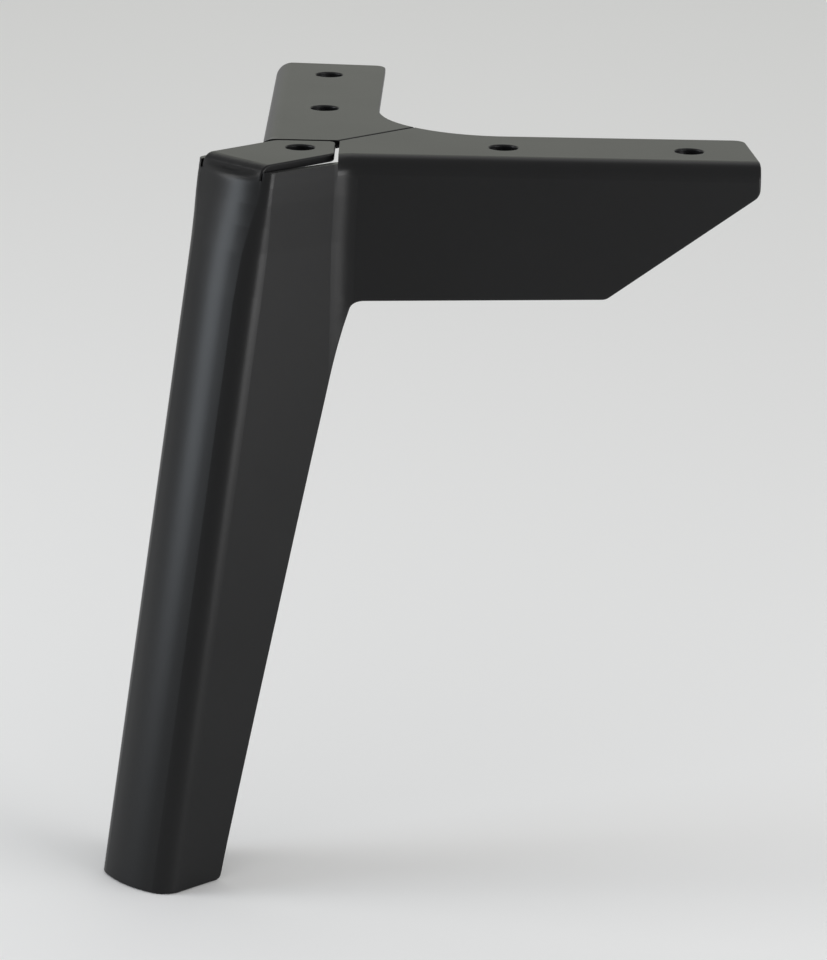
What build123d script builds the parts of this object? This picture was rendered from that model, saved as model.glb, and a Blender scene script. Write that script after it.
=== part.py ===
"""Folded sheet-steel corner leg for a sofa or cabinet.

One sheet, cut flat and folded: a channel that leans outwards along the plan diagonal, two side
walls that each bend into an arm, a flange folded inwards along the top of each arm, and a tab
folded back from the top of the channel's front.

Frame: X runs along the right arm, Y along the left arm, Z is up. The origin lies in the top face,
where the outer planes of the two arms meet. On the plan diagonal, u runs across the leg and v runs
from the foot's side towards the inside of the furniture.
"""
import os
from math import asin, cos, exp, radians, sin, sqrt, tan

from build123d import *

# Sheet and folds
sheet = 2.0
fold_radius = 4.3            # outside of the folds along the arms
tab_fold = 3.0               # outside of the tab's fold
bend_radius = 8.5            # outside of the upright bends between side walls and arms
edge_round = 0.45            # softening of the cut edges

# Arms
height = 170.0
arm_length = 116.5           # from the origin to the arm's end
arm_depth = 35.0             # lower edge below the top face, at the origin
arm_taper = 1.5              # degrees that the lower edge rises along the arm
arm_tip_depth = 7.5          # height of the arm's end
slant_start = 81.5           # distance along the arm where the lower edge turns up to the end
arm_corner = 3.0             # rounding of the arm's two lower corners

# Flanges
flange_width = 26.4          # run back to the arm's root
flange_taper = 0.9           # degrees by which the flange widens towards its end
flange_start = 18.6          # square-cut near end
flange_skew = 2.2            # the inner corner at the far end is set back by this much
flange_corner = 3.0          # rounding of that corner
web_radius = 30.0            # inner fillet where the two flanges meet
mitre_gap = 0.4

# Screw holes
hole_diameter = 6.7
hole_first = 57.0            # distance along the arm
hole_end = 16.0              # from the second hole to the arm's end
hole_inset = 14.0            # from the arm's outer face
tab_hole = 13.5              # along the diagonal

# Leg channel
channel_width = 24.0         # across its front at the top
foot_width = 24.5            # and at the foot
crown_radius = 27.0          # the front is slightly round across
corner_radius = 5.8          # outside of the channel's two front bends
front_top = -10.3            # v of the front, run on up to the top face
lean_run = 30.2              # how far the foot stands out beyond the top
spread_top = 5.4             # degrees by which each side wall opens towards the back, at the top
spread_foot = 0.5            # and at the foot
back_top = 16.1              # v of the back edge at the arm's depth
back_foot = -21.2            # v of the back edge at the foot
back_fillet = 2.5            # inner corner between back edge and arm
foot_corner = 1.5

# Top of the channel, which is flat in front for the tab's straight fold
flat_crown = 200.0           # nearly straight across
flat_corner = 2.3
flat_setback = 2.3           # behind the round front
flat_widening = 0.4          # each side, beyond the round front's width
flat_depth = 5.0             # the flat stays this far down
settle_depth = 12.0          # and fades into the round front over about this much more
section_depths = (9.0, 14.0, 20.0, 30.0, 60.0, 110.0)

# Tab
tab_width = 20.0
tab_reach = 17.6             # its rear edges lie square to the arms
tab_corner = 3.0
tab_tip = 2.0
side_drop = 1.5              # side walls end this far below the top face
slit = 0.5                   # beside the tab's fold
tab_neck = 0.4               # straight stretch below the fold, down to the end of the slits

# Margins for cutting shapes that reach past the sheet
beyond = 10.0
far = 3 * arm_length

slit_depth = tab_fold + tab_neck
diagonal_side = Plane(origin=(0, 0, 0), x_dir=(1, 1, 0), z_dir=(1, -1, 0))


def diagonal_plan(z):
    """Plan view at height z, with u to the right and v upwards."""
    return Plane(origin=(0, 0, z), x_dir=(1, -1, 0), z_dir=(0, 0, 1))


def section(z, inset):
    """Plan outline of the leg and its arms at height z, with every side moved inwards by inset."""
    flat = exp(-(max(-z - flat_depth, 0) / settle_depth) ** 2)
    crown = 1 / (flat / flat_crown + (1 - flat) / crown_radius)
    corner = flat * flat_corner + (1 - flat) * corner_radius
    spread = radians(spread_top - (spread_foot - spread_top) * z / height)
    half_width = (channel_width - (foot_width - channel_width) * z / height) / 2 + flat * flat_widening
    crown_centre = front_top + lean_run * z / height + flat * flat_setback + crown
    corner_u = half_width - corner
    swing = asin(corner_u / (crown - corner))
    turn = (swing + radians(90) - spread) / 2
    corner_v = crown_centre - (crown - corner) * cos(swing)
    crown -= inset
    corner -= inset
    joint = crown * sin(swing), crown_centre - crown * cos(swing)
    end_u = corner_u + corner * cos(spread)
    end_v = corner_v - corner * sin(spread)
    bend_u = (end_u + (inset * sqrt(2) - end_v) * tan(spread)) / (1 - tan(spread))
    bend = bend_u, bend_u + inset * sqrt(2)
    arm_end = arm_length + inset
    with BuildSketch(diagonal_plan(z)) as outline:
        with BuildLine():
            middle = crown * sin(swing / 2), crown_centre - crown * cos(swing / 2)
            ThreePointArc((0, crown_centre - crown), middle, joint)
            bulge = corner_u + corner * sin(turn), corner_v - corner * cos(turn)
            ThreePointArc(joint, bulge, (end_u, end_v))
            Polyline((end_u, end_v), bend, ((arm_end - inset) / sqrt(2), (arm_end + inset) / sqrt(2)),
                     (0, arm_end * sqrt(2)))
            mirror(about=Plane.YZ)
        make_face()
        for side in (1, -1):
            fillet(outline.vertices().sort_by_distance((side * bend[0], bend[1]))[0], bend_radius + inset)
    return outline.sketch


def envelope(inset, top):
    """The body enclosed by the sheet, from the depth top down, with its sides moved inwards by inset."""
    depths = top, flat_depth, *section_depths, height + beyond
    with BuildPart() as body:
        loft([section(-depth, inset) for depth in depths], ruled=True)
    return body.part


def arms(body, fold):
    """The body without its corner's top, with the folds along the tops of the arms."""
    with BuildPart() as block:
        add(body)
        with BuildSketch(Plane.XY.offset(-flat_depth)):
            with Locations((flange_start, flange_start)):
                Rectangle(far, far, align=(Align.MAX, Align.MAX))
        extrude(amount=far, mode=Mode.SUBTRACT)
        top = block.faces().sort_by(Axis.Z)[-1]
        rim = [edge for edge in top.edges()
               if min(edge.center().X, edge.center().Y) < fold_radius
               and max(edge.center().X, edge.center().Y) < arm_length - beyond]
        fillet(rim, fold)
    return block.part


def tab_block(body, fold):
    """The body's top in the tab's outline, with the fold along its front."""
    half = tab_width / 2
    tip = tab_reach * sqrt(2)
    with BuildPart() as block:
        add(body)
        with BuildSketch(diagonal_plan(-slit_depth)) as outline:
            with BuildLine():
                Polyline((-half, -far), (half, -far), (half, tip - half), (0, tip), (-half, tip - half),
                         close=True)
            make_face()
            fillet(outline.vertices().sort_by_distance((0, tip))[0], tab_tip)
            fillet(outline.vertices().sort_by_distance((half, tip - half))[0], tab_corner)
            fillet(outline.vertices().sort_by_distance((-half, tip - half))[0], tab_corner)
        extrude(amount=slit_depth, mode=Mode.INTERSECT)
        top = block.faces().sort_by(Axis.Z)[-1]
        fillet(top.edges().sort_by(lambda edge: edge.center().X + edge.center().Y)[0], fold)
    return block.part


with BuildPart() as folded_leg:
    outer = envelope(0, 0)
    inner = envelope(sheet, sheet)

    # Sheet round the envelope, with the folds along the arms and the channel still open at its top
    add(arms(outer, fold_radius))
    add(arms(inner, fold_radius - sheet), mode=Mode.SUBTRACT)

    # Top of the channel's walls, each side parted from the tab by a short slit
    with BuildPart(mode=Mode.PRIVATE) as side_walls:
        add(outer)
        add(envelope(sheet, 0), mode=Mode.SUBTRACT)
        with BuildSketch(Plane.XY.offset(-flat_depth)):
            with Locations((flange_start, flange_start)):
                Rectangle(far, far, align=(Align.MAX, Align.MAX))
        extrude(amount=flat_depth - side_drop, mode=Mode.INTERSECT)
        with BuildSketch(diagonal_plan(-slit_depth)):
            Rectangle(tab_width + 2 * slit, far)
        extrude(amount=far, mode=Mode.SUBTRACT)
    add(side_walls.part)

    # Tab, folded back from the channel's front
    shoulder_v = tab_reach * sqrt(2) - tab_width / 2
    with BuildPart(mode=Mode.PRIVATE) as tab:
        add(tab_block(outer, tab_fold))
        add(tab_block(inner, tab_fold - sheet), mode=Mode.SUBTRACT)
        side = (tab_width / 2 + shoulder_v / 2) / sqrt(2), (shoulder_v / 2 - tab_width / 2) / sqrt(2)
        fillet([tab.edges().sort_by_distance((*side, z))[0] for z in (0, -sheet)], edge_round)
    add(tab.part)

    # Opening between the flanges, with the round web at their meeting corner
    widening = tan(radians(flange_taper))
    root = flange_width / (1 - widening)
    with BuildSketch(Plane.XY.offset(beyond)) as opening:
        with BuildLine():
            Polyline((root, root), (far, flange_width + far * widening), (far, far),
                     (flange_width + far * widening, far), close=True)
        make_face()
        fillet(opening.vertices().sort_by_distance((root, root))[0], web_radius)
    extrude(amount=-2 * beyond, mode=Mode.SUBTRACT)

    # Mitre between the two flanges
    with BuildSketch(diagonal_plan(beyond)):
        with Locations((0, tab_reach * sqrt(2))):
            Rectangle(mitre_gap, far, align=(Align.CENTER, Align.MIN))
    extrude(amount=-2 * beyond, mode=Mode.SUBTRACT)

    # Back edge of the leg, its inner corner, the lower edge of the arms and the level foot
    taper = tan(radians(arm_taper))
    back_slope = (back_top - back_foot) / (height - arm_depth)
    corner_v = back_top / (1 - back_slope * taper * sqrt(2))
    arm_root = corner_v, corner_v * taper * sqrt(2) - arm_depth
    with BuildSketch(diagonal_side) as profile:
        with BuildLine():
            Polyline((back_foot, -height), arm_root, (far, far * taper * sqrt(2) - arm_depth),
                     (far, far), (-far, far), (-far, -height), close=True)
        make_face()
        fillet(profile.vertices().sort_by_distance((back_foot, -height))[0], foot_corner)
        fillet(profile.vertices().sort_by_distance(arm_root)[0], back_fillet)
    extrude(amount=far, both=True, mode=Mode.INTERSECT)

    # Slanted ends of the arms and skewed ends of the flanges
    slant = Vector(slant_start, slant_start * taper - arm_depth)
    tip = Vector(arm_length, -arm_tip_depth)
    overrun = (tip - slant).normalized() * beyond
    flange_end = arm_length - flange_skew, flange_width + (arm_length - flange_skew) * widening
    for arm_face, flange_face in ((Plane.XZ, Plane.XY), (Plane.YZ, Plane.YX)):
        with BuildSketch(arm_face):
            with BuildLine():
                Polyline(slant - overrun, tip + overrun, (arm_length + beyond, -far),
                         (slant_start - beyond, -far), close=True)
            make_face()
        extrude(amount=far, both=True, mode=Mode.SUBTRACT)
        with BuildSketch(flange_face):
            with BuildLine():
                Polyline((arm_length, sheet), flange_end, (flange_end[0], flange_end[1] + beyond),
                         (arm_length + beyond, flange_end[1] + beyond), (arm_length + beyond, sheet),
                         close=True)
            make_face()
        extrude(amount=beyond, both=True, mode=Mode.SUBTRACT)

    # Screw holes: two in each arm's flange and one in the tab
    arm_holes = [(hole_first, hole_inset), (arm_length - hole_end, hole_inset)]
    holes = [*arm_holes, *[(y, x) for x, y in arm_holes], (tab_hole / sqrt(2), tab_hole / sqrt(2))]
    with Locations(*holes):
        Hole(hole_diameter / 2, depth=beyond)

    # Rounded corners of the outline, each chosen at the middle of the sheet's thickness
    middle = sheet / 2
    corners = [
        (arm_corner, (slant.X, middle, slant.Y)), (arm_corner, (middle, slant.X, slant.Y)),
        (arm_corner, (tip.X, middle, tip.Y)), (arm_corner, (middle, tip.X, tip.Y)),
        (flange_corner, (*flange_end, -middle)), (flange_corner, (*flange_end[::-1], -middle)),
    ]
    for radius, place in corners:
        fillet(folded_leg.edges().sort_by_distance(place)[0], radius)

    # Softened edges: the rim right round the sheet on both its faces, the mitre and the holes
    rim = (slant + tip) / 2
    places = [(rim.X, 0, rim.Y), (rim.X, sheet, rim.Y)]
    for z in (0, -sheet):
        places += [(x + hole_diameter / 2, y, z) for x, y in holes]
        places += [(flange_width, flange_width - mitre_gap, z), (flange_width - mitre_gap, flange_width, z)]
    fillet([folded_leg.edges().sort_by_distance(place)[0] for place in places], edge_round)

folded_leg.part.label = "folded_leg"
os.makedirs("parts", exist_ok=True)
export_step(folded_leg.part, "parts/folded_leg.step")
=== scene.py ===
# %% [markdown]
# # A folded steel corner leg, dressed for its picture
#
# The leg is one sheet of steel: cut flat, pierced, folded and sprayed with black powder. Its shape comes from
# the packed solid, which has the folds and the softened edges, so no new mesh stands in for it. What is left
# for Blender is what the eye reads on such a plain thing: the coat, a slight swelling of the pressed front,
# the light that slides over the folds, and the place of the camera.

# %% Load the leg
from math import cos, exp, pi, radians, sin, sqrt

import bmesh
import bpy
from mathutils import Matrix, Vector


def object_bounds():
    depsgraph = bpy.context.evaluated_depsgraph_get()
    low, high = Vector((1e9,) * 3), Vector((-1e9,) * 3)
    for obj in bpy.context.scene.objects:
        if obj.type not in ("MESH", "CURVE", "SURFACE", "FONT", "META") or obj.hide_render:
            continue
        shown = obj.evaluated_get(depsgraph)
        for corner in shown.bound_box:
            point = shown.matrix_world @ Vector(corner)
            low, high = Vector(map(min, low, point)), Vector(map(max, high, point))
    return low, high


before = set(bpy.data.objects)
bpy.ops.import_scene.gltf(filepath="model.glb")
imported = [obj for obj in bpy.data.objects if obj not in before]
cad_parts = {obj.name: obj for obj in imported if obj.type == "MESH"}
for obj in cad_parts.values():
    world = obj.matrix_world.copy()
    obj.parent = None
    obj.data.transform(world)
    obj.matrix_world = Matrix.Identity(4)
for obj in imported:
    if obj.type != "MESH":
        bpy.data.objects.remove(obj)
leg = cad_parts["folded_leg"]
cad_low, cad_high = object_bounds()
print("leg:", len(leg.data.polygons), "faces, box", [round(x, 4) for x in (*cad_low, *cad_high)])

# %% [markdown]
# ## The camera
#
# A leg like this is pictured through a long lens from about a metre away, which keeps its upright edges
# nearly parallel. The camera could be placed by eye, but its angles were worked out from the five screw holes
# and the straight edges instead. They are given as a viewing direction, a distance and a point to look at,
# and the three axes of the camera follow from them. A degree of roll is part of the picture.

# %% Camera
view_azimuth = radians(0.016)
view_elevation = radians(16.25)
view_roll = radians(1.187)
view_distance = 0.9941
look_at = Vector((0.03755, 0, -0.07744))
focal_length = 157.9         # millimetres, on Blender's sensor of 36 mm

forward = Vector((-sin(view_azimuth) * cos(view_elevation), cos(view_azimuth) * cos(view_elevation),
                  -sin(view_elevation)))
level = Vector((cos(view_azimuth), sin(view_azimuth), 0))
upright = level.cross(forward)
right = cos(view_roll) * level + sin(view_roll) * upright
up = cos(view_roll) * upright - sin(view_roll) * level
camera = bpy.data.objects.new("camera", bpy.data.cameras.new("camera"))
camera.data.lens = focal_length
camera.matrix_world = (Matrix.Translation(look_at - view_distance * forward)
                       @ Matrix((right, up, -forward)).transposed().to_4x4())
bpy.context.scene.collection.objects.link(camera)
bpy.context.scene.camera = camera
print("camera at", [round(x, 4) for x in camera.matrix_world.translation])

# %% [markdown]
# ## Shader sums as plain Python
#
# A finish is a sum of patterns, and a node tree hides that sum. The class below wraps a socket, so that
# `0.4 + 0.1 * grain` adds the Math nodes by itself. Every other node comes from one method: its kind, its
# settings, and a value or another wire for each of its sockets.

# %% A socket that takes part in sums
class Wire:
    """A shader socket that Python's operators understand."""

    def __init__(self, socket):
        self.socket = socket

    @classmethod
    def node(cls, tree, kind, settings, inputs, output=0):
        made = tree.nodes.new("ShaderNode" + kind)
        for name, value in settings.items():
            setattr(made, name, value)
        for name, value in inputs.items():
            if isinstance(value, Wire):
                tree.links.new(value.socket, made.inputs[name])
            else:
                made.inputs[name].default_value = value
        return cls(made.outputs[output])

    def math(self, operation, *values):
        return Wire.node(self.socket.id_data, "Math", {"operation": operation}, dict(enumerate(values)))

    def __add__(self, other):
        return self.math("ADD", self, other)

    def __radd__(self, other):
        return self.math("ADD", other, self)

    def __sub__(self, other):
        return self.math("SUBTRACT", self, other)

    def __rsub__(self, other):
        return self.math("SUBTRACT", other, self)

    def __mul__(self, other):
        return self.math("MULTIPLY", self, other)

    def __rmul__(self, other):
        return self.math("MULTIPLY", other, self)

    def __truediv__(self, other):
        return self.math("DIVIDE", self, other)

    def __neg__(self):
        return self.math("SUBTRACT", 0, self)

    def __abs__(self):
        return self.math("ABSOLUTE", self)

    def above(self, low):
        """The value, or the limit where the value is less."""
        return self.math("MAXIMUM", self, low)

    def held(self, low, high):
        """The value, kept between two limits."""
        return self.math("MINIMUM", self.above(low), high)

    def bell(self):
        """1 where the value is zero, dying away on both sides of it."""
        return self.math("EXPONENT", -(self * self))


print("operators:", [name for name in vars(Wire) if name.startswith("__r")])

# %% [markdown]
# ## The swelling of the front
#
# The front of the channel is pressed round, but the tab's fold is straight, so just below the fold the sheet
# swells out. The packed solid takes three centimetres to get from the flat fold to the round front, and the
# real sheet takes a few millimetres. The difference is under two millimetres, less than the sheet is thick,
# and it shows only in the way the front turns the light. A bump does that: its height is the stretch from
# the flat front to the round one, highest in the middle and gone at the bends. It starts below the fold
# and fades out where the solid itself has become round. The solid gets there in straight stretches, so the
# bump fades in the same stretches, and no step is left between them.

# %% Swelling of the front
front_half = 0.0097          # half the width of the front, up to its bends
bend_width = 0.0023
round_radius = 0.027         # of the round front
flat_radius = 0.2            # of the solid's nearly flat top
front_rounding = 1 / round_radius - 1 / flat_radius
flat_depth = 0.005           # the solid's front stays flat this far down
settle_depth = 0.012         # and becomes round over about this much more
stretch_depths = (flat_depth, 0.009, 0.014, 0.020, 0.030, 0.060)    # where its straight stretches meet
fold_top = 0.0012            # where the swelling starts, below the top face
fold_depth = 0.0016          # and how far down it takes to swell


def flatness(depth):
    """How flat the solid's front is at a depth where two of its stretches meet."""
    return exp(-((depth - flat_depth) / settle_depth) ** 2)


def front_swell(place):
    """Height of the round front above the flat one, in metres."""
    x, y, z = (Wire.node(place.socket.id_data, "SeparateXYZ", {}, {"Vector": place}, axis) for axis in "XYZ")
    across = abs(x - y) * sqrt(0.5)
    front = across.held(0, front_half)
    bend = (across - front_half).held(0, bend_width)
    fall = 0.5 * front * front + front_half * bend - front_half / (2 * bend_width) * bend * bend
    rise = front_half * (front_half + bend_width) / 2 - fall
    started = 1 - ((-z - fold_top).above(0) / fold_depth).bell()
    flat = 1
    for upper, lower in zip(stretch_depths, stretch_depths[1:]):
        slope = (flatness(upper) - flatness(lower)) / (lower - upper)
        flat = flat - slope * (-z - upper).held(0, lower - upper)
    return front_rounding * rise * flat * started


middle_rise = front_rounding * front_half * (front_half + bend_width) / 2
print("swelling at the middle:", round(1000 * middle_rise, 2), "mm")

# %% [markdown]
# ## The powder coat
#
# Powder melts in an oven and levels out, but never quite: a satin coat keeps a soft orange peel about a
# millimetre across, with a much finer grain on it. Both are far too small for geometry, so they are bumps.
# Where the gun passed twice the coat is a touch smoother, which shows as slow clouds in the gloss and
# hardly at all in the colour. The coat is nearly black, and what is seen of it is mostly reflection, so its
# roughness matters more than its colour. Object coordinates are in metres here, so each pattern's scale is
# one over its real size.

# %% Powder coat
peel_size = 0.0011
grain_size = 0.00028
cloud_size = 0.03
bump_height = 0.000006
peel_share = 0.65            # of the bump's height; the grain has the rest
noise_middle = 0.5
coat_roughness = 0.32
cloud_gloss = 0.05           # how much the clouds change the roughness
grain_gloss = 0.04           # and how much the grain does
coat_ior = 1.30
coat_black = (0.0058, 0.0059, 0.0062, 1)
coat_worn_black = (0.0074, 0.0075, 0.0078, 1)


def powder_coat(name):
    """Satin black powder coat with orange peel, grain and slow clouds in its gloss."""
    material = bpy.data.materials.new(name)
    material.use_nodes = True
    tree = material.node_tree
    place = Wire.node(tree, "TexCoord", {}, {}, "Object")

    def noise(size, detail):
        return Wire.node(tree, "TexNoise", {}, {"Vector": place, "Scale": 1 / size, "Detail": detail})

    peel = noise(peel_size, detail=1.0)
    grain = noise(grain_size, detail=2.0)
    cloud = noise(cloud_size, detail=3.0)
    height = bump_height * (peel_share * peel + (1 - peel_share) * grain) + front_swell(place)
    rough = coat_roughness + cloud_gloss * (cloud - noise_middle) + grain_gloss * (grain - noise_middle)
    colour = Wire.node(tree, "Mix", {"data_type": "RGBA"},
                       {"Factor": cloud, "A": coat_black, "B": coat_worn_black}, "Result")
    bump = Wire.node(tree, "Bump", {}, {"Height": height, "Strength": 1.0, "Distance": 1.0})
    surface = tree.nodes["Principled BSDF"]
    surface.inputs["IOR"].default_value = coat_ior
    tree.links.new(colour.socket, surface.inputs["Base Color"])
    tree.links.new(rough.socket, surface.inputs["Roughness"])
    tree.links.new(bump.socket, surface.inputs["Normal"])
    return material


leg.data.materials[0] = powder_coat("satin_black_coat")
print("coat:", len(leg.data.materials[0].node_tree.nodes), "nodes")

# %% [markdown]
# ## Floor
#
# The leg is held under a piece of furniture, with its foot on the floor. A plain pale floor is enough: it
# shows where the foot is, and its light fills the faces that look down. It reaches far enough back that
# the camera never sees its end.

# %% Pale floor
floor_half = 12.0
floor_gap = 0.0001
floor_white = (0.86, 0.86, 0.86, 1)
floor_roughness = 0.9

floor_mesh = bpy.data.meshes.new("floor")
shape = bmesh.new()
bmesh.ops.create_grid(shape, x_segments=1, y_segments=1, size=floor_half)
bmesh.ops.translate(shape, verts=shape.verts, vec=(0, 0, cad_low.z - floor_gap))
shape.to_mesh(floor_mesh)
shape.free()
floor = bpy.data.objects.new("floor", floor_mesh)
bpy.context.scene.collection.objects.link(floor)
paper = bpy.data.materials.new("floor_paper")
paper.use_nodes = True
paper_surface = paper.node_tree.nodes["Principled BSDF"]
paper_surface.inputs["Base Color"].default_value = floor_white
paper_surface.inputs["Roughness"].default_value = floor_roughness
floor.data.materials.append(paper)
print("floor at", round(cad_low.z - floor_gap, 4))

# %% [markdown]
# ## Studio light
#
# A black satin part shows its form only through what it mirrors. A softbox at the left gives the rounded
# front its broad, slightly blue band, and a wider one at the right gives the fold beside the side wall its
# thin line. Each has a wing beyond it that reaches higher, which makes both lines brighter towards the top.
# A panel above and a softbox behind, faintly green as the grey of the top is, light the level top, and an
# even white room fills the rest. A softbox is set by its angle from the camera's side, and by its radiance,
# so that it can be moved or resized without becoming brighter or darker to look at.

# %% Softboxes
leg_middle = Vector((0.03, 0.03, -0.085))
room_white = (1.0, 1.0, 1.0, 1)
room_strength = 0.55


def lamp(name, width, height, radiance, tint):
    light = bpy.data.lights.new(name, "AREA")
    light.shape = "RECTANGLE"
    light.size = width
    light.size_y = height
    light.energy = radiance * pi * width * height
    light.color = tint
    made = bpy.data.objects.new(name, light)
    made.visible_camera = False
    bpy.context.scene.collection.objects.link(made)
    return made


def standing_softbox(name, azimuth, distance, width, low, high, radiance, tint=(1, 1, 1)):
    """An upright softbox that faces the leg; azimuth 0 is the camera's side, positive to the right."""
    made = lamp(name, width, high - low, radiance, tint)
    away = Vector((sin(radians(azimuth)), -cos(radians(azimuth)), 0))
    place = leg_middle + distance * away
    made.location = (place.x, place.y, (low + high) / 2)
    made.rotation_euler = (-away).to_track_quat("-Z", "Y").to_euler()
    return made


def hanging_panel(name, place, size, radiance, tint=(1, 1, 1)):
    """A square panel that shines straight down."""
    made = lamp(name, size, size, radiance, tint)
    made.location = place
    return made


standing_softbox("left_softbox", azimuth=-77, distance=0.9, width=0.28, low=-0.12, high=0.28, radiance=6.6,
                 tint=(0.92, 1.0, 1.08))
standing_softbox("left_wing", azimuth=-92, distance=0.9, width=0.28, low=0.1, high=0.7, radiance=4.2)
standing_softbox("right_softbox", azimuth=52, distance=0.9, width=0.56, low=-0.16, high=0.2, radiance=7.8)
standing_softbox("right_wing", azimuth=82, distance=0.9, width=0.3, low=0.2, high=0.7, radiance=1.9)
standing_softbox("back_softbox", azimuth=180, distance=1.6, width=2.0, low=0.2, high=1.0, radiance=0.16,
                 tint=(0.96, 1.1, 0.62))
hanging_panel("top_panel", place=(0.03, 0.9, 1.0), size=1.0, radiance=0.5)
room = bpy.data.worlds.new("room")
room.use_nodes = True
background = room.node_tree.nodes["Background"]
background.inputs["Color"].default_value = room_white
background.inputs["Strength"].default_value = room_strength
bpy.context.scene.world = room
bpy.context.scene.view_settings.view_transform = "Standard"
print("lights:", [light.name for light in bpy.data.lights])

# %% [markdown]
# ## The finished size
#
# The coat adds nothing to the outline, so the box of what is shown has to be the box of the solid.
